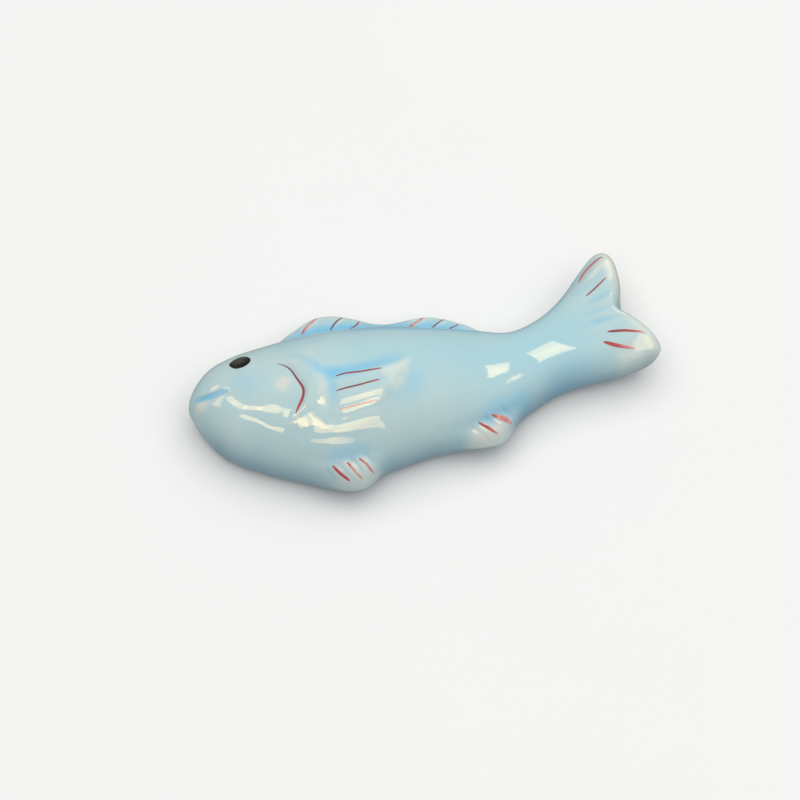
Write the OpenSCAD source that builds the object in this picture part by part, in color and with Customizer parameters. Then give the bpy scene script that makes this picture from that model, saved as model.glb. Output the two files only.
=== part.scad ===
// Chopstick rest: a fish lying on its side, cast in one piece of porcelain and glazed,
// with the eye and the red ray marks brushed on as enamel and fired on top of the glaze.
// The chopsticks lie across the saddle between the trunk and the tail.

/* [Body] */
// Length from the nose to the tip of the lower tail lobe
fish_length = 70; // [56:1:84]
// Width of the trunk at the shoulder, without the fins
trunk_width = 23.4; // [19:0.2:28]
// Height of the flank above the table at the shoulder
trunk_height = 15; // [12:0.5:18]
// Height of the widest line round the body, where the halves of the mould met
parting_height = 4.2; // [3:0.1:5]
// How far the underside of the tail lifts off the table
tail_lift = 2; // [0:0.25:3]
// How far the flat foot lies inside the outline of the trunk
foot_inset = 2.2; // [1.6:0.1:3]
// Half the thickness of the tail's rear edge
tail_rim = 0.3; // [0.2:0.05:0.5]

/* [Fins] */
// How far the tallest dorsal fin stands out from the trunk
dorsal_fin_reach = 4.3; // [3:0.1:6]
// How far the pelvic fin stands out from the belly
pelvic_fin_reach = 2.6; // [1.4:0.1:3.6]
// How far the anal fin stands out from the belly
anal_fin_reach = 3; // [1.4:0.1:3.8]
// Thickness of a dorsal fin above the parting line
fin_thickness = 1.6; // [1:0.1:2]
// Depth of the grooves between the fin rays
ray_groove_depth = 0.2; // [0.1:0.05:0.3]
// Spacing of the rays along a dorsal fin
ray_pitch = 2.6; // [2.2:0.1:3.6]

/* [Relief] */
// Height of the band along the gill cover
gill_step = 0.5; // [0.2:0.05:0.8]
// Width of the band along the gill cover
gill_band = 2.8; // [2:0.1:3.6]
// Height of the pectoral fin above the flank
pectoral_relief = 0.7; // [0.3:0.05:1]
// Depth of the mouth
mouth_depth = 0.5; // [0.2:0.05:0.8]
// Width of the mouth
mouth_width = 1.6; // [1.2:0.1:2.4]

/* [Enamel] */
// Diameter of the painted eye
eye_diameter = 3.2; // [2.4:0.1:4]
// Height of the eye's dome
eye_rise = 0.35; // [0.2:0.05:0.5]
// Width of a brush mark at its middle
mark_width = 0.6; // [0.4:0.05:0.9]
// Height of a brush mark above the glaze
mark_rise = 0.12; // [0.08:0.02:0.2]
// Depth that the enamel melts into the glaze
enamel_bite = 0.06; // [0.04:0.01:0.08]

/* [Hidden] */
// One row for each cross-section: station as a share of the length, half width and sideways place
// of the spine as shares of the trunk's width, and height as a share of the trunk's height
section_shares = [
    [0.00, 0.270, 0.205, 0.780],
    [0.05, 0.360, 0.150, 0.780],
    [0.11, 0.392, 0.103, 0.820],
    [0.18, 0.455, 0.042, 0.915],
    [0.26, 0.500, -0.003, 0.990],
    [0.35, 0.494, -0.020, 0.995],
    [0.45, 0.452, -0.035, 0.945],
    [0.55, 0.402, -0.060, 0.815],
    [0.64, 0.337, -0.082, 0.690],
    [0.70, 0.270, -0.080, 0.645],
    [0.77, 0.249, -0.026, 0.627],
    [0.84, 0.296, 0.027, 0.640],
    [0.91, 0.378, 0.093, 0.672],
    [0.96, 0.417, 0.138, 0.686],
    [1.00, 0.420, 0.154, 0.690],
];
half_width_column = 1;
spine_column = 2;
height_column = 3;
nose_share = 0.14;
tail_edge_share = 0.955;
lift_start_share = 0.74;

// The forked tail: place across it, from -1 at the belly edge to 1 at the back edge,
// and how far its rear edge lies forward of the fish's end as a share of the length
fork_shares = [[-1, 0.042], [-0.95, 0.010], [-0.82, 0], [-0.6, 0.008], [-0.31, 0.038], [-0.14, 0.060],
    [0.10, 0.048], [0.40, 0.036], [0.68, 0.032], [0.85, 0.034], [0.94, 0.040], [1, 0.051]];
fork_power = 8;

// Outlines of the fins: station along the fish, and share of the fin's reach
dorsal_shares = [[0.205, 0], [0.235, 0.32], [0.27, 0.64], [0.315, 0.98], [0.36, 0.95], [0.40, 0.70],
    [0.435, 0.43], [0.465, 0.40], [0.51, 0.58], [0.545, 0.69], [0.58, 0.60], [0.62, 0.34],
    [0.65, 0.10], [0.675, 0]];
pelvic_shares = [[0.18, 0], [0.22, 0.35], [0.26, 0.80], [0.30, 1], [0.325, 0.82], [0.35, 0.32],
    [0.37, 0.04], [0.39, 0]];
anal_shares = [[0.47, 0], [0.52, 0.27], [0.57, 0.71], [0.615, 0.94], [0.64, 0.70], [0.66, 0.28],
    [0.68, 0.04], [0.70, 0]];

// Angles round the section are 0 at the crest, 90 at the back edge and -90 at the belly edge
edge_angle = 90;
fin_root_angle = 74;
flap_root_angle = 64;
// Lines of the skin and the angle of each, closer together over the pectoral fin and the fins
lane_angles = [[0, -90], [10, -63], [14, -50], [27, 2], [40, 74], [48, 90]];
lanes = 48;
// Lines of the underside, each below the line of the skin with the same number
under_lanes = [0, 3, 5, 7, 10, 14, 18, 24, 30, 35, 38, 40, 42, 45, 48];
// Cross-sections along the fish: share of their count, and station
stations = 94;
station_shares = [[0, 0], [0.03, 0.004], [0.09, 0.032], [0.19, 0.125], [0.26, 0.20], [0.76, 0.67],
    [0.84, 0.80], [0.93, 0.94], [1, 1]];

// A smooth curve through the rows of a table, read at t from one of its columns
function row_below(table, t, row = 0) =
    row >= len(table) - 2 || t < table[row + 1][0] ? row : row_below(table, t, row + 1);
function slope_at(table, row, column) =
    let (before = table[max(row - 1, 0)], after = table[min(row + 1, len(table) - 1)])
    (after[column] - before[column]) / (after[0] - before[0]);
function curve(table, t, column = 1) =
    let (
        row = row_below(table, t),
        from = table[row],
        to = table[row + 1],
        run = to[0] - from[0],
        s = min(max((t - from[0]) / run, 0), 1),
        rise = to[column] - from[column],
        slope0 = slope_at(table, row, column) * run,
        slope1 = slope_at(table, row + 1, column) * run
    )
    from[column] + s * (slope0 + s * (3 * rise - 2 * slope0 - slope1 + s * (slope0 + slope1 - 2 * rise)));
function outline(table, t) =
    t <= table[0][0] || t >= table[len(table) - 1][0] ? 0 : max(curve(table, t), 0);

// Steps from 0 to 1 and humps of height 1, both smooth
function clamp(t) = min(max(t, 0), 1);
function ease(t) = let (s = clamp(t)) s * s * (3 - 2 * s);
function hump(t) = let (s = 1 - clamp(abs(t))) s * s * (3 - 2 * s);
function round_off(t, power = 2) = sqrt(1 - pow(1 - clamp(t), power));

// Sizes of the cross-section at a station
function lift(u) = tail_lift * ease((u - lift_start_share) / (1 - lift_start_share));
function parting(u) = parting_height + lift(u);
function nose_swell(u) = round_off(u / nose_share);
function half_width(u) = trunk_width * curve(section_shares, u, half_width_column) * nose_swell(u);
function spine(u) = trunk_width * curve(section_shares, u, spine_column);
function tail_fall(u) = round_off((1 - u) / (1 - tail_edge_share));
function crown(u) =
    (trunk_height * curve(section_shares, u, height_column) - parting(u)) * nose_swell(u);

// The section's profile squares off toward the tail
trunk_power = 2;
tail_power = 3.4;
square_start_share = 0.62;
square_end_share = 0.92;
function section_power(u) =
    let (squared = ease((u - square_start_share) / (square_end_share - square_start_share)))
    trunk_power + squared * (tail_power - trunk_power);
function dome(u, angle) = sqrt(max(1 - pow(abs(sin(angle)), section_power(u)), 0));

// Dorsal fins are blades pulled out of the parting line, from 0 at their edge to 1 at their root
full_blade_share = 0.35;
under_blade_share = 0.8;
blade_edge_power = 4;
function dorsal_reach(u) = dorsal_fin_reach * outline(dorsal_shares, u);
function blade_place(angle) = clamp((edge_angle - angle) / (edge_angle - fin_root_angle));
function blade_amount(u) = ease(outline(dorsal_shares, u) / full_blade_share);
function blade(place, edge, root) =
    (edge + (root - edge) * place * place) * round_off(place, blade_edge_power);

// Pelvic and anal fins are flaps that flare out of the flank toward the parting line
flap_power = 1.3;
flap_ledge_share = 0.3;
flap_ledge_width_share = 0.5;
function belly_reach(u) =
    pelvic_fin_reach * outline(pelvic_shares, u) + anal_fin_reach * outline(anal_shares, u);
function flap(angle) =
    let (place = clamp((-angle - flap_root_angle) / (edge_angle - flap_root_angle)))
    flap_ledge_share * ease(place / flap_ledge_width_share) + (1 - flap_ledge_share) * pow(place, flap_power);

// Place across the fish of the line at an angle round the section
function across(u, angle) =
    spine(u) + half_width(u) * sin(angle) + dorsal_reach(u) * (1 - blade_place(angle))
        - belly_reach(u) * flap(angle);
function along(u, angle) = fish_length * (u - curve(fork_shares, sin(angle)) * pow(u, fork_power));

// Height of the bare form above the parting line, before the relief
function bare_rise(u, angle) =
    let (
        trunk = crown(u) * dome(u, angle),
        root = crown(u) * dome(u, fin_root_angle),
        fin = blade(blade_place(angle), fin_thickness, root),
        form = angle > fin_root_angle ? trunk + blade_amount(u) * (fin - trunk) : trunk
    )
    max(form * tail_fall(u), tail_rim * dome(u, angle));

// The gill cover's edge bows toward the tail, with a raised band behind it
gill_share = 0.225;
gill_bow_share = 0.23;
gill_middle_share = -0.05;
gill_top_share = 0.46;
gill_bottom_share = -0.66;
gill_fade_share = 0.22;
gill_rise_width = gill_band / 2;
function gill_line(place) = gill_share - gill_bow_share * pow(place - gill_middle_share, 2);
function gill_relief(u, place) =
    let (behind = fish_length * (u - gill_line(place)))
    gill_step * (ease(behind / gill_rise_width) - ease((behind - gill_band) / gill_rise_width))
        * ease((place - gill_bottom_share) / gill_fade_share)
        * ease((gill_top_share - place) / gill_fade_share);

// The pectoral fin fans out behind the gill band and ends in a step
pectoral_root_share = 0.272;
pectoral_tip_share = 0.47;
pectoral_heel_share = 0.38;
pectoral_top_share = 0.03;
pectoral_bottom_share = -0.68;
pectoral_side_share = 0.11;
pectoral_rise_share = 0.10;
pectoral_end_share = 0.022;
pectoral_root_height_share = 0.35;
pectoral_rays = 4;
function pectoral_end(place) =
    let (lifted = clamp((place - pectoral_bottom_share) / (pectoral_top_share - pectoral_bottom_share)))
    pectoral_heel_share + (pectoral_tip_share - pectoral_heel_share) * ease(lifted);
function pectoral_relief_at(u, place) =
    let (
        ray = pectoral_rays * (place - pectoral_bottom_share) / (pectoral_top_share - pectoral_bottom_share),
        growth = pectoral_root_height_share
            + (1 - pectoral_root_height_share) * ease((u - pectoral_root_share) / pectoral_rise_share),
        inside = ease((u - pectoral_root_share) / pectoral_end_share)
            * ease((pectoral_end(place) - u) / pectoral_end_share)
            * ease((place - pectoral_bottom_share) / pectoral_side_share)
            * ease((pectoral_top_share - place) / pectoral_side_share)
    )
    inside * (pectoral_relief * growth - ray_groove_depth * (1 - cos(360 * ray)) / 2);

// The mouth runs back from the nose along the side of the head
mouth_shares = [[0, 0.245], [0.03, 0.178], [0.06, 0.157], [0.09, 0.158]];
mouth_end_share = 0.092;
mouth_fade_share = 0.03;
function mouth_line(u) = trunk_width * curve(mouth_shares, u);
function mouth_relief(u, angle) =
    -mouth_depth * hump(2 * (across(u, angle) - mouth_line(u)) / mouth_width)
        * ease((mouth_end_share - u) / mouth_fade_share) * round_off(2 * u / nose_share);

// Shallow grooves fan out over the tail, and others cross the dorsal fins
tail_rays = 3;
tail_rays_share = 0.84;
tail_rays_full_share = 0.93;
function tail_relief(u, place) =
    -ray_groove_depth * (1 - cos(360 * tail_rays * place)) / 2 * tail_fall(u)
        * ease((u - tail_rays_share) / (tail_rays_full_share - tail_rays_share));
fin_ray_slant_share = 1.2;
function fin_relief(u, angle) =
    let (
        place = blade_place(angle),
        ray = (fish_length * u + fin_ray_slant_share * dorsal_reach(u) * place) / ray_pitch
    )
    -ray_groove_depth * (1 - cos(360 * ray)) / 2 * blade_amount(u) * round_off(place) * (1 - pow(place, 2));

function relief(u, angle) =
    let (place = sin(angle))
    gill_relief(u, place) + pectoral_relief_at(u, place) + mouth_relief(u, angle)
        + tail_relief(u, place) + (angle > fin_root_angle ? fin_relief(u, angle) : 0);

// A point of the skin: the bare form, with the relief laid on square to the section
function skin(u, angle) =
    let (
        out = half_width(u) * cos(angle),
        side = crown(u) * sin(angle),
        steep = angle > fin_root_angle ? blade_amount(u) : 0,
        tilt = atan2(side * (1 - steep), out + steep * side),
        raised = relief(u, angle)
    )
    [
        along(u, angle),
        across(u, angle) + raised * sin(tilt),
        parting(u) + bare_rise(u, angle) + raised * cos(tilt),
    ];

// A point of the underside, which tucks in from the parting line to the flat foot
function tuck(u, angle) =
    let (
        side = 1 - clamp(half_width(u) * (1 - abs(sin(angle))) / foot_inset),
        front = 1 - clamp(fish_length * u / foot_inset),
        corner = min(sqrt(side * side + front * front), 1)
    )
    parting_height * sqrt(1 - corner * corner);
function under_drop(u, angle) =
    let (
        trunk = tuck(u, angle),
        root = tuck(u, fin_root_angle),
        fin = blade(blade_place(angle), under_blade_share * fin_thickness, root),
        form = angle > fin_root_angle ? trunk + blade_amount(u) * (fin - trunk) : trunk
    )
    max(form * tail_fall(u), tail_rim * dome(u, angle));
function underside(u, angle) = [along(u, angle), across(u, angle), parting(u) - under_drop(u, angle)];

// The fish is centred over the table's origin
function station(step) = curve(station_shares, step / stations);
function lane_angle(lane) = lookup(lane, lane_angles);
back_edges = [for (step = [0:stations]) across(station(step), edge_angle)];
belly_edges = [for (step = [0:stations]) across(station(step), -edge_angle)];
middle = [fish_length / 2, (max(back_edges) + min(belly_edges)) / 2, 0];

// Rings of points from the nose to the tail: over the skin from belly to back, and back underneath
under_count = len(under_lanes) - 2;
ring_size = lanes + 1 + under_count;
function ring(u) = [
    for (lane = [0:lanes]) skin(u, lane_angle(lane)),
    for (i = [under_count:-1:1]) underside(u, lane_angle(under_lanes[i])),
];
function ring_point(step, i) = 1 + (step - 1) * ring_size + i % ring_size;
function under_point(i) =
    i == 0 ? ring_point(stations, 0)
    : i > under_count ? ring_point(stations, lanes)
    : ring_point(stations, ring_size - i);

module porcelain_body() {
    nose = [[0, spine(0), parting(0)]];
    rings = [for (step = [1:stations]) for (point = ring(station(step))) point];
    nose_faces = [for (i = [0:ring_size - 1]) [0, ring_point(1, i + 1), ring_point(1, i)]];
    side_faces = [for (step = [1:stations - 1]) for (i = [0:ring_size - 1]) each [
        [ring_point(step, i), ring_point(step + 1, i + 1), ring_point(step + 1, i)],
        [ring_point(step, i), ring_point(step, i + 1), ring_point(step + 1, i + 1)],
    ]];
    // The tail's rear edge is a narrow band between the skin's last line and the underside's
    edge_faces = [for (i = [0:under_count])
        let (low = under_lanes[i], high = under_lanes[i + 1], turn = floor((low + high) / 2))
        each [
            for (lane = [low:1:turn - 1])
                if (lane > 0) [under_point(i), ring_point(stations, lane), ring_point(stations, lane + 1)],
            [under_point(i), ring_point(stations, turn), under_point(i + 1)],
            for (lane = [turn:1:high - 1])
                if (lane < lanes - 1)
                    [under_point(i + 1), ring_point(stations, lane), ring_point(stations, lane + 1)],
        ]];
    color("powderblue")
        translate(-middle)
            polyhedron(points = concat(nose, rings), faces = concat(nose_faces, side_faces, edge_faces));
}

// The direction square to the skin at a place: a station, and a share of the angle from the crest
nudge_share = 0.002;
function skin_at(place) = skin(place[0], edge_angle * place[1]);
function skin_run(place) =
    (skin_at(place + [nudge_share, 0]) - skin_at(place - [nudge_share, 0])) / (2 * nudge_share);
function skin_climb(place) =
    (skin_at(place + [0, nudge_share]) - skin_at(place - [0, nudge_share])) / (2 * nudge_share);
function unit(v) = v / norm(v);
function outward(place) = unit(cross(skin_run(place), skin_climb(place)));

// The eye is a low dome of enamel on the side of the head
eye_place_shares = [0.12, 0.385];
eye_spokes = 24;
eye_ring_shares = [0.45, 0.8, 1];
function eye_point(ring_share, turn, height) =
    let (
        radius = ring_share * eye_diameter / 2,
        run = radius * cos(turn) / norm(skin_run(eye_place_shares)),
        climb = radius * sin(turn) / norm(skin_climb(eye_place_shares)),
        place = eye_place_shares + [run, climb]
    )
    skin_at(place) + height * outward(place);
function eye_height(ring_share) = (eye_rise + enamel_bite) * sqrt(1 - pow(ring_share, 2)) - enamel_bite;

module eye_mark() {
    rings = [for (ring_share = eye_ring_shares) for (spoke = [0:eye_spokes - 1])
        eye_point(ring_share, 360 * spoke / eye_spokes, eye_height(ring_share))];
    top = eye_point(0, 0, eye_height(0));
    bottom = eye_point(0, 0, -enamel_bite);
    last = len(eye_ring_shares) - 1;
    function spoke_point(ring, spoke) = 2 + ring * eye_spokes + spoke % eye_spokes;
    faces = [for (spoke = [0:eye_spokes - 1]) each [
        [0, spoke_point(0, spoke + 1), spoke_point(0, spoke)],
        [1, spoke_point(last, spoke), spoke_point(last, spoke + 1)],
        for (ring = [0:last - 1]) each [
            [spoke_point(ring, spoke), spoke_point(ring, spoke + 1), spoke_point(ring + 1, spoke)],
            [spoke_point(ring, spoke + 1), spoke_point(ring + 1, spoke + 1), spoke_point(ring + 1, spoke)],
        ],
    ]];
    color("black")
        translate(-middle)
            polyhedron(points = concat([top, bottom], rings), faces = faces);
}

// Brush marks run from their first place to their last, through any place between
mark_steps = 10;
mark_sides = [-1, -0.5, 0, 0.5, 1];
mark_end_share = 0.15;
mark_taper_power = 3;
function mark_place(places, t) =
    let (
        first = places[0],
        last = places[len(places) - 1],
        centre = len(places) > 2 ? places[1] : (first + last) / 2,
        pull = 2 * centre - (first + last) / 2
    )
    (1 - t) * (1 - t) * first + 2 * t * (1 - t) * pull + t * t * last;
function mark_taper(t) =
    mark_end_share + (1 - mark_end_share) * sqrt(1 - pow(abs(2 * t - 1), mark_taper_power));
function mark_point(places, t, side) =
    let (
        place = mark_place(places, t),
        ahead = skin_at(mark_place(places, t + nudge_share)) - skin_at(mark_place(places, t - nudge_share)),
        up = outward(place),
        sideways = unit(cross(up, ahead)),
        height = (mark_rise * mark_taper(t) + enamel_bite) * (1 - side * side) - enamel_bite
    )
    skin_at(place) + side * mark_taper(t) * mark_width / 2 * sideways + height * up;

module brush_mark(places) {
    rings = [for (step = [0:mark_steps]) for (side = mark_sides) mark_point(places, step / mark_steps, side)];
    size = len(mark_sides);
    function mark_index(step, i) = step * size + i % size;
    side_faces = [for (step = [0:mark_steps - 1]) for (i = [0:size - 1]) each [
        [mark_index(step, i), mark_index(step, i + 1), mark_index(step + 1, i + 1)],
        [mark_index(step, i), mark_index(step + 1, i + 1), mark_index(step + 1, i)],
    ]];
    first_end = [for (i = [1:size - 2]) [0, i + 1, i]];
    last_end = [for (i = [1:size - 2])
        [mark_index(mark_steps, 0), mark_index(mark_steps, i), mark_index(mark_steps, i + 1)]];
    color("firebrick")
        translate(-middle)
            polyhedron(points = rings, faces = concat(side_faces, first_end, last_end));
}

// Each group of marks: its name, and the places that each of its marks runs through
mark_group_shares = [
    ["gill_mark", [[[0.184, 0.225], [0.225, -0.03], [0.191, -0.29]]]],
    ["pectoral_mark", [
        [[0.296, -0.035], [0.392, -0.035]],
        [[0.296, -0.145], [0.384, -0.13]],
        [[0.288, -0.305], [0.376, -0.305]],
    ]],
    ["front_dorsal_mark", [
        [[0.272, 0.86], [0.306, 0.955]],
        [[0.328, 0.85], [0.362, 0.955]],
        [[0.369, 0.85], [0.394, 0.94]],
    ]],
    ["rear_dorsal_mark", [
        [[0.492, 0.85], [0.524, 0.95]],
        [[0.536, 0.85], [0.568, 0.94]],
        [[0.570, 0.85], [0.594, 0.93]],
    ]],
    ["pelvic_mark", [
        [[0.248, -0.775], [0.272, -0.90]],
        [[0.280, -0.725], [0.296, -0.87]],
        [[0.304, -0.74], [0.328, -0.87]],
    ]],
    ["anal_mark", [
        [[0.576, -0.725], [0.608, -0.855]],
        [[0.608, -0.66], [0.64, -0.84]],
    ]],
    ["upper_tail_mark", [
        [[0.885, 0.56], [0.958, 0.71]],
        [[0.888, 0.275], [0.952, 0.305]],
    ]],
    ["lower_tail_mark", [
        [[0.912, -0.29], [0.965, -0.465]],
        [[0.888, -0.40], [0.936, -0.60]],
    ]],
];
function mark_name(group, i) = len(group[1]) > 1 ? str(group[0], "_", i + 1) : group[0];
mark_names = [for (group = mark_group_shares) for (i = [0:len(group[1]) - 1]) mark_name(group, i)];

porcelain_body();
eye_mark();
for (group = mark_group_shares)
    for (i = [0:len(group[1]) - 1])
        brush_mark(group[1][i]);
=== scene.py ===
import math

import bpy
import numpy as np
from mathutils import Matrix, Vector
from mathutils.bvhtree import BVHTree


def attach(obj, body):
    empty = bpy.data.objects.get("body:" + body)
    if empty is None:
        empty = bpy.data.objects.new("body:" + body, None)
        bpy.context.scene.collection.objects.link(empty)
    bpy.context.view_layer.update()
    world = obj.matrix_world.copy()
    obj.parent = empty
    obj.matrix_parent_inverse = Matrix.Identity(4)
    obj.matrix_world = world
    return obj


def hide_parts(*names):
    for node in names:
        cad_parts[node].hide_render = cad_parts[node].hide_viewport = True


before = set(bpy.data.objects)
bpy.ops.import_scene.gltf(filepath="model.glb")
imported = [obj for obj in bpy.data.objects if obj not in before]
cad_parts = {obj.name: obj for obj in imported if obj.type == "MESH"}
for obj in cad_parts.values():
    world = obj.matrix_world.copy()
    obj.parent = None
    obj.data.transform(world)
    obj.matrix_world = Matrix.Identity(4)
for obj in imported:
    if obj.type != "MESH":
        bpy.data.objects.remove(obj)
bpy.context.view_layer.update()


# The fish
# One moulded porcelain body lies on its side: trunk, head, fins and forked tail in a single
# piece. Cobalt blue was sprayed into its hollows, and the thick transparent glaze over it has
# softened every mould line.
MM = 0.001
WELDED_WITHIN = 0.001 * MM
SMOOTHING_LEVELS = 2
bpy.ops.object.select_all(action="DESELECT")
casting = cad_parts["porcelain_body"].data.copy()
fish = bpy.data.objects.new("glazed_fish", casting)
bpy.context.scene.collection.objects.link(fish)
bpy.context.view_layer.objects.active = fish
fish.select_set(True)
bpy.ops.object.mode_set(mode="EDIT")
bpy.ops.mesh.select_all(action="SELECT")
bpy.ops.mesh.remove_doubles(threshold=WELDED_WITHIN)
bpy.ops.mesh.tris_convert_to_quads(face_threshold=math.pi, shape_threshold=math.pi)
bpy.ops.object.mode_set(mode="OBJECT")
smoothing = fish.modifiers.new("smoothing", "SUBSURF")
smoothing.levels = smoothing.render_levels = SMOOTHING_LEVELS
bpy.ops.object.modifier_apply(modifier=smoothing.name)
bpy.ops.object.shade_smooth()


def places(mesh, kind="co"):
    """Each vertex's place in mm, or its normal, as rows of x, y, z."""
    rows = np.empty(len(mesh.vertices) * 3, np.float32)
    mesh.vertices.foreach_get(kind, rows)
    return rows.reshape(-1, 3).astype(float) / (MM if kind == "co" else 1)


def set_places(mesh, rows):
    """Moves each vertex to its row's place, in mm."""
    mesh.vertices.foreach_set("co", (rows * MM).astype(np.float32).ravel())
    mesh.update()


# How finely each stretch between two given points is worked out before it is measured
STRETCH_STEPS = 20


def through(points, steps=24):
    """A smooth line through given points, as steps + 1 points, evenly spread."""
    p = np.array(points, float)
    p = np.vstack([2 * p[0] - p[1], p, 2 * p[-1] - p[-2]])
    fine = []
    for a, b, c, d in zip(p[:-3], p[1:-2], p[2:-1], p[3:]):
        for t in np.linspace(0, 1, STRETCH_STEPS, endpoint=False):
            bend = 2 * a - 5 * b + 4 * c - d + t * (3 * (b - c) + d - a)
            fine.append(b + 0.5 * t * (c - a + t * bend))
    fine = np.array(fine + [p[-2]])
    run = np.concatenate([[0], np.cumsum(np.linalg.norm(np.diff(fine, axis=0), axis=1))])
    even = np.linspace(0, run[-1], steps + 1)
    return np.stack([np.interp(even, run, fine[:, k]) for k in range(fine.shape[1])], axis=1)


def soft(t):
    """From 0 to 1 as t does, with no corner at either end."""
    t = np.clip(t, 0, 1)
    return t * t * (3 - 2 * t)


def at_steps(run, values):
    """Values given at even steps along a run from 0 to 1, read anywhere along it."""
    return np.interp(run, np.linspace(0, 1, len(values)), values)


def brushed(spots, points, reach, strengths, fade=0.25):
    """What a soft brush that follows a line, seen from above, leaves on each spot. It reaches so
    many mm to each side, with strengths at even steps along it, and fades out at its ends."""
    line = through(points)
    best = np.full(len(spots), np.inf)
    run = np.zeros(len(spots))
    for i, (a, b) in enumerate(zip(line[:-1], line[1:])):
        t = np.clip((spots[:, :2] - a) @ (b - a) / ((b - a) @ (b - a)), 0, 1)
        away = np.linalg.norm(spots[:, :2] - a - t[:, None] * (b - a), axis=1)
        nearer = away < best
        best[nearer] = away[nearer]
        run[nearer] = (i + t[nearer]) / (len(line) - 1)
    ends = soft(run / fade) * soft((1 - run) / fade)
    return soft(1 - best / reach) * ends * at_steps(run, strengths)


# The underside ends at this height in mm, and what is done to the upper side fades out in the
# band above it
UNDERSIDE_TOP, FADE_BAND = 2.5, 1.5


def facing_up(rows):
    """1 on the side of the fish that lies uppermost, and 0 on its underside."""
    return soft((rows[:, 2] - UNDERSIDE_TOP) / FADE_BAND)


def averaged(mesh, rounds):
    """Each vertex's place with its surroundings evened out, in mm."""
    even = places(mesh)
    ends = np.empty(len(mesh.edges) * 2, np.int32)
    mesh.edges.foreach_get("vertices", ends)
    a, b = ends[0::2], ends[1::2]
    count = np.bincount(ends, minlength=len(even))
    for _ in range(rounds):
        even = np.stack([(np.bincount(a, even[b, k], len(even))
                          + np.bincount(b, even[a, k], len(even))) / count
                         for k in range(3)], axis=1)
    return even


# The side fin's lower edge and tip and the gill cover's lower end melt into the flank. The
# lines are in mm from the fish's middle.
FIN_EDGE = [(-18.0, -7.4), (-15.0, -7.9), (-12.0, -8.0), (-9.0, -7.8), (-5.5, -6.8)]
FIN_TIP = [(-7.0, -6.8), (-4.4, -4.8), (-2.0, -2.2)]
GILL_END = [(-15.8, -5.6), (-18.2, -6.9), (-21.4, -7.4)]
FIN_MELT, GILL_MELT, MELT_ROUNDS = 1.6, 1.15, 60
spots = places(casting)
along_fin = np.maximum(brushed(spots, FIN_EDGE, 1.3, [1], 0.15), brushed(spots, FIN_TIP, 2.0, [1], 0.3))
along_gill = brushed(spots, GILL_END, 3.6, [1], 0.12)
melted = np.maximum(FIN_MELT * along_fin, GILL_MELT * along_gill) * facing_up(spots)
melted = np.clip(melted, 0, 1)[:, None]
set_places(casting, spots + melted * (averaged(casting, MELT_ROUNDS) - spots))

# Hollows that the mould holds: the line, its reach to each side, and its depths in mm at even
# steps along it. A depth below 0 is a ridge.
MOUTH = [(-34.4, 4.7), (-33.1, 4.0), (-31.7, 3.5), (-30.5, 3.2), (-28.7, 2.7)]
GILL = [(-22.1, 4.25), (-20.8, 3.2), (-20.0, 1.95), (-19.5, 0.15), (-19.05, -1.8), (-19.5, -3.1),
        (-20.3, -4.0), (-21.2, -5.0)]
hollow_lines = [
    # The face
    (MOUTH, 0.6, [0.22, 0.2, 0.1]),
    (GILL, 0.6, [0.06, 0.14, 0.16]),
    # Above the side fin, between its lower ribs, and the ridge along its lower edge
    ([(-16.0, 1.2), (-14.6, 0.0), (-12.0, -0.4), (-7.2, -0.4), (-2.4, 0.1)], 1.5, [0.12, 0.08, 0.04]),
    ([(-15.8, -5.8), (-12.0, -5.85), (-8.5, -5.7), (-6.6, -5.4)], 0.35, [0.05]),
    ([(-15.2, -6.55), (-13.8, -6.6), (-11.8, -6.85), (-9.5, -6.7), (-8.4, -6.5)], 0.75, [0.08]),
    ([(-19.0, -7.9), (-14.5, -8.35), (-9.6, -8.45), (-6.6, -8.2)], 1.7, [-0.12, -0.16, -0.16, -0.1]),
    # Between the pelvic fin's rays
    ([(-18.8, -11.6), (-17.8, -12.8), (-16.8, -13.9)], 0.55, [0.16, 0.1]),
    ([(-17.0, -11.6), (-15.9, -13.1), (-14.8, -14.4)], 0.55, [0.2, 0.12]),
    ([(-14.9, -11.6), (-13.9, -12.9), (-13.0, -14.2)], 0.55, [0.2, 0.12]),
    ([(-12.9, -11.4), (-11.9, -12.4), (-10.8, -13.2)], 0.55, [0.16, 0.1]),
    # Between the anal fin's rays
    ([(3.4, -10.6), (4.8, -11.6), (6.2, -12.9)], 0.5, [0.12, 0.06]),
    ([(5.9, -9.8), (7.3, -11.0), (8.8, -12.2)], 0.55, [0.18, 0.08]),
    ([(8.6, -9.0), (9.8, -9.8), (11.2, -10.8)], 0.5, [0.14, 0.06]),
    # Between the tail's rays
    ([(25.6, 3.0), (27.3, 3.5), (28.9, 3.8), (30.4, 4.3)], 0.6, [0.12]),
    ([(25.2, 1.2), (26.8, 1.4), (28.6, 1.6), (30.0, 1.9)], 0.6, [0.12]),
    ([(25.0, -0.2), (27.2, -0.2), (29.0, -0.4), (31.0, -0.8)], 0.6, [0.14]),
    ([(26.0, 6.2), (27.8, 7.2), (29.8, 8.4)], 0.6, [0.12]),
]
spots, normals = places(casting), places(casting, "normal")
up = facing_up(spots)
depth = sum(brushed(spots, line, reach, depths) for line, reach, depths in hollow_lines) * up
set_places(casting, spots - normals * depth[:, None])


def note(mesh, name, values):
    """Keeps a number from 0 to 1 for each vertex, for the material to read."""
    values = np.clip(values, 0, 1).astype(np.float32)
    mesh.attributes.new(name, "FLOAT", "POINT").data.foreach_set("value", values)


def layered(spots, lines):
    """Several soft strokes laid over each other."""
    bare = np.ones(len(spots))
    for points, reach, strengths, fade in lines:
        bare *= 1 - brushed(spots, points, reach, strengths, fade)
    return 1 - bare
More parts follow.
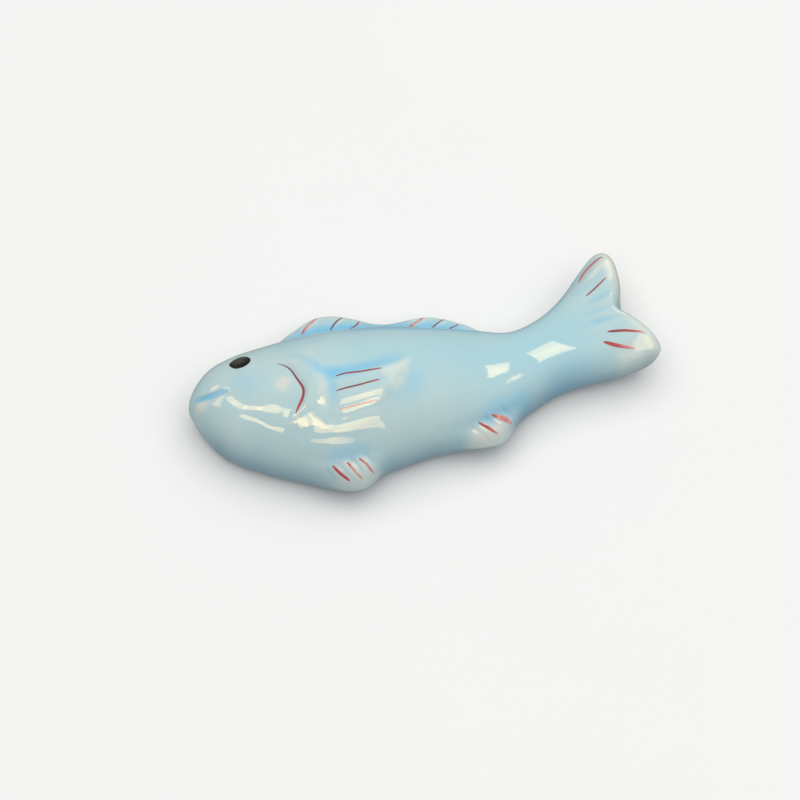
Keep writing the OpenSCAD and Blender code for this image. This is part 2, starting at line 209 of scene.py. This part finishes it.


# Cobalt blue sprayed under the glaze, with a painted shadow below the side fin's tip: the line, its
# reach, its strengths and its fade
spray_and_painted_shadow = layered(spots, [
    # The mouth, the roots of the fins along the back, and the flank below them
    (MOUTH, 0.65, [0.5, 0.65, 0.6, 0.35], 0.15),
    ([(-19.4, 9.6), (-16.8, 11.3), (-13.1, 11.5), (-9.2, 10.9), (-4.4, 9.5), (0.8, 8.3), (5.0, 7.0),
      (9.4, 4.8)], 2.2, [0.45, 0.75, 0.85, 0.75, 0.75, 0.7, 0.45], 0.1),
    ([(-12.6, 8.2), (-8.0, 7.4), (-2.0, 6.2), (4.0, 5.4), (9.0, 4.0), (13.0, 3.0)], 1.3,
     [0.4, 0.5, 0.5, 0.3], 0.2),
    # Behind the gill cover, above the side fin, and the nape
    ([(-17.3, 4.4), (-16.6, 2.4), (-16.0, 0.4), (-15.6, -1.4)], 1.5, [0.1, 0.35, 0.6, 0.4], 0.3),
    ([(-16.4, 0.6), (-15.2, -0.4), (-13.4, -0.9), (-11.2, -1.2), (-8.6, -1.2), (-5.6, -0.8),
      (-2.6, -0.1)], 1.8, [0.6, 0.8, 0.7, 0.55, 0.4, 0.3, 0.1], 0.15),
    ([(-23.0, 8.6), (-20.0, 8.0), (-16.5, 7.6), (-12.0, 7.0)], 2.6, [0.1, 0.22, 0.2, 0.1], 0.3),
    # The side fin's root, the blue below its tip (partly pooled spray, partly a painted shadow under the
    # tip), the gill cover, and the cheek
    ([(-15.2, 0.0), (-14.9, -2.0), (-15.2, -4.0), (-15.8, -6.0)], 1.5, [0.45, 0.35, 0.2], 0.3),
    ([(-0.8, -1.4), (-2.5, -4.2), (-4.6, -6.0), (-7.0, -7.4)], 2.6, [0.15, 0.3, 0.25], 0.4),
    ([(-19.0, 5.8), (-17.9, 3.2), (-17.4, 0.4), (-17.8, -2.2)], 1.4, [0.1, 0.2, 0.1], 0.3),
    ([(-29.6, 4.6), (-27.2, 3.2), (-25.2, 1.6), (-24.0, 0.4)], 3.0, [0.12, 0.22, 0.18], 0.4),
    # The roots of the pelvic and anal fins, and the stalk's lower edge
    ([(-19.6, -10.5), (-17.2, -11.0), (-14.5, -11.2), (-10.4, -11.3)], 1.4, [0.15, 0.35, 0.3], 0.3),
    ([(-16.4, -12.2), (-15.2, -13.6)], 0.8, [0.3], 0.3),
    ([(-14.4, -12.2), (-13.2, -13.6)], 0.8, [0.3], 0.3),
    ([(2.6, -10.6), (5.6, -10.2), (8.2, -9.2), (10.6, -8.8), (13.0, -8.0), (15.6, -6.9)], 1.9,
     [0.1, 0.3, 0.45, 0.4, 0.2], 0.3),
    ([(15.6, -6.9), (19.6, -6.3), (22.7, -5.6), (26.0, -4.8)], 2.2, [0.15, 0.1, 0.2, 0.15], 0.35),
    # The tail's rays and its upper lobe
    ([(23.6, 2.6), (26.2, 3.2), (29.6, 4.0)], 1.0, [0.15, 0.22, 0.1], 0.4),
    ([(23.2, 1.0), (25.8, 1.3), (29.4, 1.8)], 0.9, [0.15, 0.25, 0.15], 0.4),
    ([(23.0, -0.4), (26.2, -0.3), (30.6, -0.6)], 1.1, [0.15, 0.3, 0.15], 0.4),
    ([(19.6, 4.6), (22.2, 6.6), (24.4, 8.8), (26.8, 10.6)], 2.2, [0.2, 0.35, 0.3], 0.3),
    ([(24.0, 4.6), (26.0, 6.0), (27.8, 7.0)], 1.2, [0.2, 0.25, 0.1], 0.4),
])
# A faint veil of the same blue over the trunk and the tail's middle
veiled = layered(spots, [
    ([(-16.0, 3.6), (-8.0, 2.8), (2.0, 0.8), (12.0, -2.0), (22.0, -1.0), (28.0, 2.0)], 10.5,
     [0.9, 1.0, 1.0, 1.0, 0.9], 0.15),
])
# Tips that were wiped almost clean before glazing
wiped = layered(spots, [
    # The side fin's ribs
    ([(-8.4, -2.8), (-5.0, -2.0), (-2.0, -1.0)], 1.2, [0.4, 0.6, 0.6], 0.25),
    ([(-7.6, -3.8), (-5.2, -3.2), (-2.8, -2.2)], 1.3, [0.5], 0.25),
    ([(-7.2, -4.9), (-5.6, -4.5), (-4.0, -3.6)], 1.1, [0.5], 0.3),
    # The pelvic and anal fins, the upper tail lobe's rays, and the gill cover's rim
    ([(-17.8, -12.4), (-14.8, -13.1), (-11.4, -12.4)], 1.7, [0.85], 0.25),
    ([(3.2, -11.7), (6.6, -11.5), (9.8, -10.6)], 1.5, [0.75], 0.25),
    ([(26.6, 10.4), (28.4, 11.6), (30.2, 12.8)], 1.1, [0.4, 0.6], 0.3),
    ([(27.2, 7.2), (29.2, 8.6), (31.0, 10.0)], 1.0, [0.4, 0.6], 0.3),
    ([(-18.0, 5.4), (-16.4, 2.8), (-16.0, -1.4), (-16.8, -4.9), (-18.6, -6.6)], 1.5,
     [0.3, 0.35, 0.4], 0.25),
    # The outer edges of the tail's lobes
    ([(29.0, 13.8), (31.0, 12.8), (31.9, 10.0), (32.1, 7.0), (31.8, 4.4), (31.5, 2.6)], 2.0,
     [0.7, 0.9, 0.9, 0.7], 0.1),
    ([(29.4, 10.6), (30.4, 8.8)], 1.6, [0.4], 0.4),
    ([(31.4, 1.2), (32.6, -1.4), (34.2, -3.8), (34.7, -6.4), (32.2, -8.6), (27.0, -9.2)], 2.6,
     [0.4, 0.8, 0.9, 0.8, 0.5], 0.12),
    ([(27.0, -6.6), (29.6, -6.4), (32.6, -5.6)], 2.6, [0.4, 0.7], 0.3),
    # The outer edges of the pelvic, anal and two dorsal fins, and the dorsal fins' rays
    ([(-18.8, -13.6), (-16.0, -15.0), (-12.4, -14.6), (-9.8, -13.0)], 2.2, [0.6, 0.8, 0.7], 0.2),
    ([(1.6, -12.4), (5.0, -13.2), (8.2, -13.0), (11.4, -11.4)], 2.2, [0.5, 0.9, 0.9, 0.6], 0.2),
    ([(-16.0, 14.0), (-13.4, 15.0), (-9.2, 14.4), (-4.6, 11.8)], 1.5, [0.5, 0.6, 0.4], 0.2),
    ([(-0.6, 9.6), (2.6, 10.4), (6.0, 9.4), (9.0, 7.2)], 1.3, [0.5], 0.2),
    ([(-15.2, 12.2), (-14.0, 13.2), (-12.6, 14.0)], 0.6, [0.5], 0.3),
    ([(-11.0, 11.2), (-9.8, 12.4), (-8.6, 13.0)], 0.6, [0.45], 0.3),
    ([(0.8, 8.6), (2.0, 9.3), (3.2, 9.8)], 0.6, [0.55], 0.3),
    ([(3.6, 7.4), (4.8, 8.1), (6.0, 8.6)], 0.6, [0.5], 0.3),
])
# A warm blush where the clay shows through: before the gill, the lips, the gill's lower end and
# the anal fin
blushed = layered(spots, [
    ([(-22.9, -0.9), (-21.5, 0.2), (-20.4, 1.3)], 1.7, [0.45], 0.35),
    ([(-34.4, 3.6), (-33.2, 2.8), (-32.0, 2.6)], 1.2, [0.5, 0.5, 0.2], 0.3),
    ([(-21.4, -5.2), (-20.6, -5.6)], 1.0, [0.4], 0.3),
    ([(2.6, -12.2), (6.6, -12.2), (9.8, -11.2)], 1.6, [0.35], 0.3),
])
# Painted shade: the colour is made greyer and darker low down on the belly's side, where less light falls
SHADE_TOP, SHADE_DROP, SHADE_START, SHADE_WIDTH = 9.3, 7.5, 2, 5
painted_belly_shade = soft((SHADE_TOP - spots[:, 2]) / SHADE_DROP)
painted_belly_shade *= soft((SHADE_START - spots[:, 1]) / SHADE_WIDTH)
note(casting, "painted_belly_shade", painted_belly_shade)
note(casting, "spray_and_painted_shadow", spray_and_painted_shadow * up)
note(casting, "veiled", veiled * up)
note(casting, "wiped", wiped * up)
note(casting, "blushed", blushed * up)
# Glaze runs off edges and into hollows as it melts: 0.5 is flat, and more is hollow
POOL_ROUNDS, POOL_PER_MM = 40, 2.2
filling = averaged(casting, POOL_ROUNDS) - places(casting)
hollow = (filling * places(casting, "normal")).sum(axis=1)
note(casting, "pooled", 0.5 + POOL_PER_MM * hollow)


def linear(code):
    """An sRGB hex colour as the linear one that shaders take."""
    parts = [int(code[i:i + 2], 16) / 255 for i in (1, 3, 5)]
    return [c / 12.92 if c <= 0.04045 else ((c + 0.055) / 1.055) ** 2.4 for c in parts] + [1]


def add(tree, kind, inputs=(), **settings):
    """Adds a shader node, sets it up, and links or sets its inputs by name or number."""
    node = tree.nodes.new("ShaderNode" + kind)
    for name, value in settings.items():
        setattr(node, name, value)
    for name, value in dict(inputs).items():
        if isinstance(value, bpy.types.NodeSocket):
            tree.links.new(value, node.inputs[name])
        else:
            node.inputs[name].default_value = value
    return node


def new_material(name):
    """An empty material, and the tree that its nodes go in."""
    material = bpy.data.materials.new(name)
    material.use_nodes = True
    material.node_tree.nodes.clear()
    return material, material.node_tree


# Celadon-glazed porcelain, dipped and fired: the glass is clear and smooth over a pale blue
# body, so it gives sharp highlights over a soft, slightly cloudy colour. The foot was wiped
# bare up to a ragged line.
GLASSY, UNGLAZED = 0.045, 0.75
FOOT_LINE, RAGGED_BY = (0.35 * MM, 0.2 * MM), 0.1 * MM
RIPPLE_DEPTH, RIPPLE_STRENGTH = 0.05 * MM, 0.2
glaze, tree = new_material("celadon_glazed_porcelain")
where = add(tree, "TexCoord").outputs["Object"]


def blended(share, under, over, kind="MIX"):
    """One colour laid over another by a share from 0 to 1, in the material being made."""
    ends = {0: share, 6: under, 7: over}
    return add(tree, "Mix", ends, data_type="RGBA", blend_type=kind).outputs[2]


def from_mesh(name):
    """What note() has kept under a name."""
    return add(tree, "Attribute", attribute_name=name).outputs["Fac"]


def share_of(value, low, high, out_low=0.0, out_high=1.0):
    """Turns a value between low and high into one between out_low and out_high."""
    ends = {"Value": value, "From Min": low, "From Max": high, "To Min": out_low, "To Max": out_high}
    return add(tree, "MapRange", ends).outputs["Result"]


def clouds(size_mm, detail=2.0):
    """Soft patches of a real size."""
    scale = {"Vector": where, "Scale": 1 / (size_mm * MM), "Detail": detail}
    return add(tree, "TexNoise", scale).outputs["Fac"]


def calculated(operation, first, second=0.0):
    """One sum on one or two values."""
    return add(tree, "Math", {0: first, 1: second}, operation=operation).outputs[0]


colour = blended(share_of(clouds(size_mm=9), 0.35, 0.65), linear("#B6CCCD"), linear("#AEC9CC"))
colour = blended(share_of(from_mesh("veiled"), 0, 1, 0, 0.75), colour, linear("#9FC8D2"))
colour = blended(share_of(from_mesh("pooled"), 0.5, 0.95, 0, 0.5), colour, linear("#86BBD2"))
colour = blended(share_of(from_mesh("pooled"), 0.5, 0.15, 0, 0.35), colour, linear("#C4D2CD"))
colour = blended(share_of(from_mesh("wiped"), 0, 1, 0, 0.9), colour, linear("#DDDFD2"))
# The sprayed blue, mottled; below the side fin's tip it is partly a painted shadow
mottled = calculated("MULTIPLY", from_mesh("spray_and_painted_shadow"),
                     share_of(clouds(size_mm=1.6, detail=3), 0.3, 0.7, 0.8, 1.0))
colour = blended(share_of(mottled, 0, 1, 0, 0.9), colour, linear("#5FBAE2"))
colour = blended(from_mesh("blushed"), colour, linear("#EBDDCB"))
height = add(tree, "SeparateXYZ", {0: where}).outputs["Z"]
# Painted shade laid over the colour, greyer and darker low on the belly's side
colour = blended(from_mesh("painted_belly_shade"), colour, linear("#BCCBDC"), "MULTIPLY")
ragged = calculated("ADD", height, share_of(clouds(size_mm=2.5), 0.3, 0.7, -RAGGED_BY, RAGGED_BY))
bare = share_of(ragged, *FOOT_LINE)
colour = blended(bare, colour, linear("#D8D3C9"))
ripple = add(tree, "Bump", {"Strength": RIPPLE_STRENGTH, "Distance": RIPPLE_DEPTH,
                            "Height": clouds(size_mm=2.4, detail=1)})
surface = add(tree, "BsdfPrincipled", {
    "Base Color": colour, "Roughness": share_of(bare, 0, 1, GLASSY, UNGLAZED), "IOR": 1.5,
    "Normal": ripple.outputs[0], "Subsurface Weight": 0.12, "Subsurface Radius": (1.0, 1.2, 1.4),
    "Subsurface Scale": 0.6 * MM})
add(tree, "OutputMaterial", {"Surface": surface.outputs[0]})
casting.materials.clear()
casting.materials.append(glaze)
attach(fish, "root")
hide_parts("porcelain_body")
faces = [tuple(face.vertices) for face in casting.polygons]
skin = BVHTree.FromPolygons([Vector(spot) for spot in places(casting)], faces)


# Enamel marks
# The red marks are overglaze enamel, brushed on after the glaze firing and melted onto it in
# a cooler one. Each is a single stroke: wet and thick where the brush pressed, and a pale,
# streaky tail where it lifted.

# A height in mm above all of the fish
WELL_ABOVE = 40


def on_skin(x, y):
    """The fish's upper skin straight below a place: the point and its normal, in mm."""
    return skin.ray_cast(Vector((x, y, WELL_ABOVE)), Vector((0, 0, -1)))[:2]


# Iron-red enamel: maroon where it lies thick, clear red where it is thinner, and salmon where
# the pale glaze shows through it. The brush's hairs leave streaks along the stroke.
STREAKS_ALONG, STREAKS_ACROSS, STREAK_SCALE = 2.5, 3.0, 2.2
red, tree = new_material("red_overglaze_enamel")
along, across, thin = from_mesh("along"), from_mesh("across"), from_mesh("thin")
streaked = add(tree, "CombineXYZ", {"X": calculated("MULTIPLY", along, STREAKS_ALONG),
                                    "Y": calculated("MULTIPLY", across, STREAKS_ACROSS), "Z": thin})
streaks = add(tree, "TexNoise", {"Vector": streaked.outputs[0], "Scale": STREAK_SCALE, "Detail": 3.0})
streaks = streaks.outputs["Fac"]
uneven = calculated("ADD", thin, share_of(streaks, 0.3, 0.7, -0.2, 0.2))
colour = blended(share_of(uneven, 0.0, 0.35), linear("#70404C"), linear("#B64648"))
colour = blended(share_of(uneven, 0.4, 1.0), colour, linear("#DBB0A6"))
rim = share_of(calculated("ABSOLUTE", across), 0.45, 1.0, 0, 0.75)
colour = blended(rim, colour, linear("#B4C4C6"))
surface = add(tree, "BsdfPrincipled", {
    "Base Color": colour, "Roughness": share_of(streaks, 0.3, 0.7, 0.1, 0.22), "IOR": 1.55})
add(tree, "OutputMaterial", {"Surface": surface.outputs[0]})


# A stroke's squares along and across it, how far its middle stands proud of the glaze and its
# rim lies in it, and its thickness, in mm. It rises fully where its half is this share of its
# width, and its ends are as blunt as this power makes them.
STROKE_STEPS, STROKE_ROWS = 32, 6
STROKE_RISE, STROKE_SINK, STROKE_WALL = 0.07, 0.02, 0.08
FULL_RISE_AT, BLUNTNESS = 0.35, 4


def brush_stroke(name, node, points, width, thins, swells=(1,)):
    """Lays one stroke of enamel along points on the skin, in mm seen from above. thins says how
    thin the enamel is, and swells how wide it is for its width, at even steps along it."""
    bpy.ops.mesh.primitive_grid_add(x_subdivisions=STROKE_STEPS, y_subdivisions=STROKE_ROWS, size=1)
    piece = bpy.context.object
    piece.name = piece.data.name = name
    # The grid is 1 m wide, so its places run from -0.5 to 0.5
    grid = places(piece.data) * MM
    run, side = grid[:, 0] + 0.5, grid[:, 1] * 2
    line = through(points, STROKE_STEPS)
    tapered = np.sqrt(np.clip(1 - np.abs(2 * run - 1) ** BLUNTNESS, 0, 1))
    spread = tapered * at_steps(run, swells) * width / 2
    laid = []
    for t, s, half in zip(run, side, spread):
        i = min(int(round(t * STROKE_STEPS)), STROKE_STEPS)
        ahead = line[min(i + 1, STROKE_STEPS)] - line[max(i - 1, 0)]
        centre, normal = on_skin(*line[i])
        forward = Vector((ahead[0], ahead[1], 0))
        forward -= forward.dot(normal) * normal
        sideways = normal.cross(forward).normalized()
        spot, normal = skin.find_nearest(centre + sideways * float(s * half))[:2]
        rise = STROKE_RISE * (1 - s * s) * min(1, half / (FULL_RISE_AT * width))
        laid.append(spot + normal * (rise - STROKE_SINK))
    set_places(piece.data, np.array(laid))
    wall = piece.modifiers.new("wall", "SOLIDIFY")
    wall.thickness, wall.offset = STROKE_WALL * MM, -1
    bpy.ops.object.modifier_apply(modifier=wall.name)
    copies = len(piece.data.vertices) // len(run)
    sides = piece.data.attributes.new("across", "FLOAT", "POINT")
    sides.data.foreach_set("value", np.tile(side, copies).astype(np.float32))
    note(piece.data, "along", np.tile(run, copies))
    note(piece.data, "thin", np.tile(at_steps(run, thins), copies))
    bpy.ops.object.shade_smooth()
    piece.data.materials.append(red)
    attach(piece, "root")
    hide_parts(node)
    piece.select_set(False)


brush_stroke("gill_stroke", "gill_mark", GILL, 0.6, [0.0, 0.0, 0.05, 0.15, 0.3, 0.35],
             [0.3, 0.45, 0.6, 0.9, 1.2, 1.0])
brush_stroke("pectoral_stroke_1", "pectoral_mark_1",
             [(-14.3, -1.55), (-12.65, -1.5), (-10.25, -1.9), (-7.1, -2.1)], 0.42,
             [0.0, 0.1, 0.15, 0.4])
brush_stroke("pectoral_stroke_2", "pectoral_mark_2",
             [(-14.8, -3.75), (-13.25, -3.75), (-10.85, -3.85), (-7.9, -3.75)], 0.36,
             [0.0, 0.0, 0.05, 0.3])
brush_stroke("pectoral_stroke_3", "pectoral_mark_3",
             [(-15.1, -6.35), (-12.45, -6.45), (-9.0, -6.55)], 0.32, [0.85, 0.95, 1.0])
brush_stroke("front_dorsal_stroke_1", "front_dorsal_mark_1",
             [(-15.9, 11.5), (-14.8, 12.9), (-13.8, 13.7), (-12.5, 14.6)], 0.85,
             [0.0, 0.6, 0.85, 0.8, 0.75], [0.35, 0.8, 1.0, 0.8])
brush_stroke("front_dorsal_stroke_2", "front_dorsal_mark_2",
             [(-11.6, 10.9), (-10.7, 12.1), (-9.9, 12.9), (-8.8, 13.6)], 0.36,
             [0.0, 0.0, 0.1, 0.2])
brush_stroke("front_dorsal_stroke_3", "front_dorsal_mark_3",
             [(-8.7, 10.4), (-7.5, 11.1), (-6.7, 12.1)], 0.38, [0.0, 0.05, 0.7])
brush_stroke("rear_dorsal_stroke_1", "rear_dorsal_mark_1",
             [(-0.1, 8.45), (1.0, 9.1), (1.9, 9.6), (2.75, 10.1)], 0.7, [0.3, 0.85, 0.8, 0.65])
brush_stroke("rear_dorsal_stroke_2", "rear_dorsal_mark_2",
             [(2.7, 7.15), (3.8, 7.9), (4.6, 8.4), (5.7, 8.95)], 0.32, [0.0, 0.0, 0.05, 0.2])
brush_stroke("rear_dorsal_stroke_3", "rear_dorsal_mark_3",
             [(5.1, 6.45), (6.2, 6.9), (7.4, 7.35)], 0.32, [0.0, 0.0, 0.1])
brush_stroke("pelvic_stroke_1", "pelvic_mark_1",
             [(-17.6, -11.75), (-16.65, -12.95), (-15.5, -13.95)], 0.68, [0.35, 0.3, 0.4],
             [0.8, 1.1, 1.0])
brush_stroke("pelvic_stroke_2", "pelvic_mark_2",
             [(-15.5, -12.0), (-15.1, -12.4), (-14.4, -13.45), (-13.6, -14.2)], 0.5,
             [0.2, 0.8, 0.8, 0.6])
brush_stroke("pelvic_stroke_3", "pelvic_mark_3",
             [(-13.6, -11.95), (-12.75, -12.7), (-12.2, -13.4), (-11.7, -13.7)], 0.5,
             [0.3, 0.75, 0.65, 0.6])
brush_stroke("anal_stroke_1", "anal_mark_1", [(5.0, -10.4), (6.3, -11.3), (7.6, -12.3)], 0.55,
             [0.1, 0.3, 0.65], [0.8, 1.2, 0.8])
brush_stroke("anal_stroke_2", "anal_mark_2",
             [(7.2, -9.8), (8.45, -10.25), (9.35, -10.65), (10.0, -11.25)], 0.95,
             [0.2, 0.8, 0.6, 0.8], [0.5, 1.0, 1.1, 0.8])
brush_stroke("upper_tail_stroke_1", "upper_tail_mark_1",
             [(26.0, 7.5), (27.4, 9.2), (28.9, 10.2), (31.0, 11.1)], 0.85,
             [0.55, 0.6, 0.55, 0.5], [0.7, 1.1, 1, 0.9])
brush_stroke("upper_tail_stroke_2", "upper_tail_mark_2",
             [(26.1, 4.35), (27.85, 5.25), (30.1, 6.6)], 0.36, [0.1, 0.05, 0.5])
brush_stroke("lower_tail_stroke_1", "lower_tail_mark_1",
             [(27.3, -2.3), (29.6, -2.75), (31.2, -3.3), (32.9, -3.9)], 0.58,
             [0.05, 0.1, 0.35, 0.75], [0.9, 1, 0.9, 0.7])
brush_stroke("lower_tail_stroke_2", "lower_tail_mark_2",
             [(26.3, -3.6), (27.95, -4.55), (29.4, -5.1), (30.7, -5.5)], 0.75,
             [0.2, 0.3, 0.6, 0.75], [0.9, 1.1, 0.9, 0.8])


# Eye
# The eye is one loaded dot of black enamel, drawn out to a point toward the mouth, with a warm brown
# glint painted into its middle. It stands proud of the glaze as a low, very glossy dome. Its centre, and
# its half length and half width with their directions, are in mm seen from above.
EYE_CENTRE, EYE_AHEAD, EYE_ACROSS = (-26.4, 6.95), (1.5, -0.55), (0.6, 1.18)
EYE_RISE, EYE_SINK, EYE_PINCH = 0.34, 0.06, 0.4
bpy.ops.mesh.primitive_uv_sphere_add(segments=48, ring_count=24, radius=1)
eye = bpy.context.object
eye.name = eye.data.name = "enamel_eye"
# The ball's radius is 1 m, so its places run from -1 to 1
ball = places(eye.data) * MM
laid = []
for a, b, c in ball:
    b *= 1 - EYE_PINCH * max(-a, 0) ** 2
    spot, normal = on_skin(*(EYE_CENTRE[k] + a * EYE_AHEAD[k] + b * EYE_ACROSS[k] for k in (0, 1)))
    laid.append(spot + normal * (c * (EYE_RISE if c > 0 else EYE_SINK)))
set_places(eye.data, np.array(laid))
note(eye.data, "off_centre", np.hypot(ball[:, 0], ball[:, 1]))
bpy.ops.object.shade_smooth()

# Black enamel: near black at its thin rim, and a painted warm brown glint in its middle
black, tree = new_material("black_overglaze_enamel")
where = add(tree, "TexCoord").outputs["Object"]
patchy = calculated("ADD", from_mesh("off_centre"), share_of(clouds(size_mm=0.8), 0.3, 0.7, -0.12, 0.12))
colour = blended(share_of(patchy, 0.25, 0.8), linear("#40382A"), linear("#0B0A0C"))
surface = add(tree, "BsdfPrincipled", {
    "Base Color": colour, "Roughness": share_of(clouds(size_mm=0.5), 0.3, 0.7, 0.06, 0.12), "IOR": 1.55})
add(tree, "OutputMaterial", {"Surface": surface.outputs[0]})
eye.data.materials.append(black)
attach(eye, "root")
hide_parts("eye_mark")
eye.select_set(False)


# Table
# A matt white painted board lies under the fish and reaches far past the picture's edges. It
# isn't mirrored in the glaze, so the belly stays clear.
TABLE_SIDE = 3000 * MM
bpy.ops.mesh.primitive_plane_add(size=TABLE_SIDE, location=(0, 0, 0))
table = bpy.context.object
table.name = "table"
# Matt white paint, rolled on: chalky and even, with next to no clouding
white, tree = new_material("matt_white_board")
where = add(tree, "TexCoord").outputs["Object"]
colour = blended(clouds(size_mm=40), linear("#E6E6E5"), linear("#E4E4E3"))
surface = add(tree, "BsdfPrincipled", {"Base Color": colour, "Roughness": 0.9, "IOR": 1.3})
add(tree, "OutputMaterial", {"Surface": surface.outputs[0]})
table.data.materials.append(white)
table.visible_glossy = False


# Light
# One large soft panel overhead and a dim sky light the fish. The warm panels are only mirrored
# by the glaze, and give the window-shaped highlights. So is the duller sky.
SKY_STRENGTH, MIRRORED_STRENGTH = 0.38, 0.7
WINDOW_COLOUR = "#FFD488"
world = bpy.context.scene.world or bpy.data.worlds.new("studio")
bpy.context.scene.world = world
world.use_nodes = True
tree = world.node_tree
tree.nodes.clear()
mirrored = add(tree, "LightPath").outputs["Is Glossy Ray"]
sky = add(tree, "Background", {"Color": linear("#F4F7FA"), "Strength": SKY_STRENGTH})
dull = add(tree, "Background", {"Color": linear("#9DA9AE"), "Strength": MIRRORED_STRENGTH})
mixed = add(tree, "MixShader", {0: mirrored, 1: sky.outputs[0], 2: dull.outputs[0]})
add(tree, "OutputWorld", {"Surface": mixed.outputs[0]})


def panel(name, spot, towards, distance, along, half_width, half_height, beam, colour, radiance):
    """A rectangular lamp in a direction from a spot on the fish and aimed at it, in mm. Its
    width runs along a direction, and its beam opens by so many degrees."""
    lamp = bpy.data.lights.new(name, "AREA")
    lamp.shape, lamp.size, lamp.size_y = "RECTANGLE", 2 * half_width * MM, 2 * half_height * MM
    lamp.spread = math.radians(beam)
    # A narrower beam is as bright with less energy
    narrowed = 1 - lamp.spread / 2 / math.tan(lamp.spread / 2)
    lamp.energy = radiance * math.pi * lamp.size * lamp.size_y * narrowed
    lamp.color = linear(colour)[:3]
    lit = bpy.data.objects.new(name, lamp)
    bpy.context.scene.collection.objects.link(lit)
    back = Vector(towards).normalized()
    wide = Vector(along)
    wide = (wide - wide.dot(back) * back).normalized()
    lit.location = (Vector(spot) + back * distance) * MM
    lit.rotation_mode = "QUATERNION"
    lit.rotation_quaternion = Matrix((wide, back.cross(wide), back)).transposed().to_quaternion()
    lit.visible_camera = False
    return lit


overhead = panel("overhead", spot=(0, 0, 0), towards=(0.1, 0.02, 0.99), distance=900,
                 along=(1, 0, 0), half_width=800, half_height=800, beam=180, colour="#FFFEFC",
                 radiance=1.68)
overhead.visible_glossy = False
# Each window's name, the spot on the fish that mirrors it, its direction, distance, width's
# direction, half width, half height, beam and radiance
for name, *shape, radiance in [
    ("stalk_window", (18.4, -2.8, 9.3), (0.24, 0.178, 0.954), 10, (-0.29, 0.96, 0), 4, 1.34, 74, 11),
    ("trunk_window", (9.8, -4.3, 10.2), (0.55, 0.14, 0.823), 12.8, (1, 0.02, 0), 0.35, 3.46, 49, 12),
    ("trunk_glint", (12.3, -5.8, 9.2), (0.488, -0.249, 0.837), 40, (0.35, -0.94, 0), 4.4, 0.22, 22, 11),
    ("rib_window", (-11.4, -5.9, 14.2), (0.093, -0.456, 0.885), 10, (-0.13, 0.99, 0), 2.5, 6, 52, 11),
    ("cheek_left", (-28.8, 0.5, 11.3), (-0.721, 0.182, 0.668), 23, (1, 0, 0), 1.6, 6.5, 50, 9),
    ("cheek_middle", (-26.6, -1.6, 11.8), (-0.691, -0.041, 0.722), 20, (0.72, 0.69, 0), 1.4, 2.5, 27, 9),
    ("cheek_right", (-24.1, -2.8, 12.5), (-0.602, -0.112, 0.791), 488, (0.45, -0.89, 0), 48, 48, 43, 9),
    ("jaw_window", (-25.7, -4.2, 11), (-0.762, -0.387, 0.519), 31, (0, 1, 0), 10.3, 1.3, 77, 10),
    ("belly_window", (-13.3, -8.5, 12.3), (-0.09, -0.827, 0.555), 10, (-0.87, 0.49, 0), 9.4, 2.3, 104, 9),
    ("gill_window", (-18.7, -6.2, 13.1), (-0.433, -0.671, 0.602), 15.4, (0.93, 0.37, 0), 5.7, 1.2, 62, 8),
    ("gill_foot", (-21.1, -5.8, 12.6), (-0.573, -0.616, 0.541), 10, (-0.92, 0.39, 0), 3.1, 0.84, 111, 6),
    ("low_window", (-16.4, -9.5, 10.9), (-0.264, -0.906, 0.331), 10, (-0.84, 0.54, 0), 6.5, 0.8, 64, 8),
    ("tail_window", (32.1, -5.1, 8.8), (0.621, -0.478, 0.621), 12.8, (-0.19, 0.98, 0), 5.7, 7.2, 105, 7),
    ("lobe_glint", (30.3, 6.8, 9.8), (0.554, 0.735, 0.391), 10, (-0.41, 0.91, 0), 5.4, 5.8, 100, 4),
    ("anal_glint", (6.5, -11.1, 6.5), (0.411, -0.562, 0.718), 20, (0.63, -0.77, 0), 0.8, 6.1, 25, 10),
    ("chin_glint", (-31.1, 1.8, 10.1), (-0.843, 0.323, 0.43), 19, (0.93, 0.37, 0), 3.4, 2.4, 46, 6),
    ("lip_glint", (-30.9, 4.2, 10.1), (-0.699, 0.565, 0.439), 18, (0.9, -0.43, 0), 2.2, 3.8, 28, 8),
]:
    window = panel(name, *shape, WINDOW_COLOUR, radiance)
    window.visible_diffuse = False


# Camera
# It stands where the photograph's did: a long lens above the belly side, turned a little toward
# the head, with the fish's middle right of the picture's centre.
CAMERA_AZIMUTH, CAMERA_ELEVATION = math.radians(-16.13), math.radians(60)
PIXELS_PER_MM, PICTURE_SIDE, MIDDLE_PIXEL = 6.6917, 800, (425.0, 396.1)
camera = bpy.data.objects.new("camera", bpy.data.cameras.new("camera"))
bpy.context.scene.collection.objects.link(camera)
camera.data.lens, camera.data.sensor_width = 180, 36
right = Vector((math.cos(CAMERA_AZIMUTH), math.sin(CAMERA_AZIMUTH), 0))
back = Vector((math.sin(CAMERA_AZIMUTH) * math.cos(CAMERA_ELEVATION),
               -math.cos(CAMERA_AZIMUTH) * math.cos(CAMERA_ELEVATION), math.sin(CAMERA_ELEVATION)))
upward = back.cross(right)
picture_mm = PICTURE_SIDE / PIXELS_PER_MM
aim = (right * (PICTURE_SIDE / 2 - MIDDLE_PIXEL[0])
       + upward * (MIDDLE_PIXEL[1] - PICTURE_SIDE / 2)) / PIXELS_PER_MM
camera.location = (aim + back * picture_mm * camera.data.lens / camera.data.sensor_width) * MM
camera.rotation_mode = "QUATERNION"
camera.rotation_quaternion = back.to_track_quat("Z", "Y")
camera.data.clip_start, camera.data.clip_end = 0.01, 10
bpy.context.scene.camera = camera
bpy.context.scene.view_settings.view_transform = "Standard"
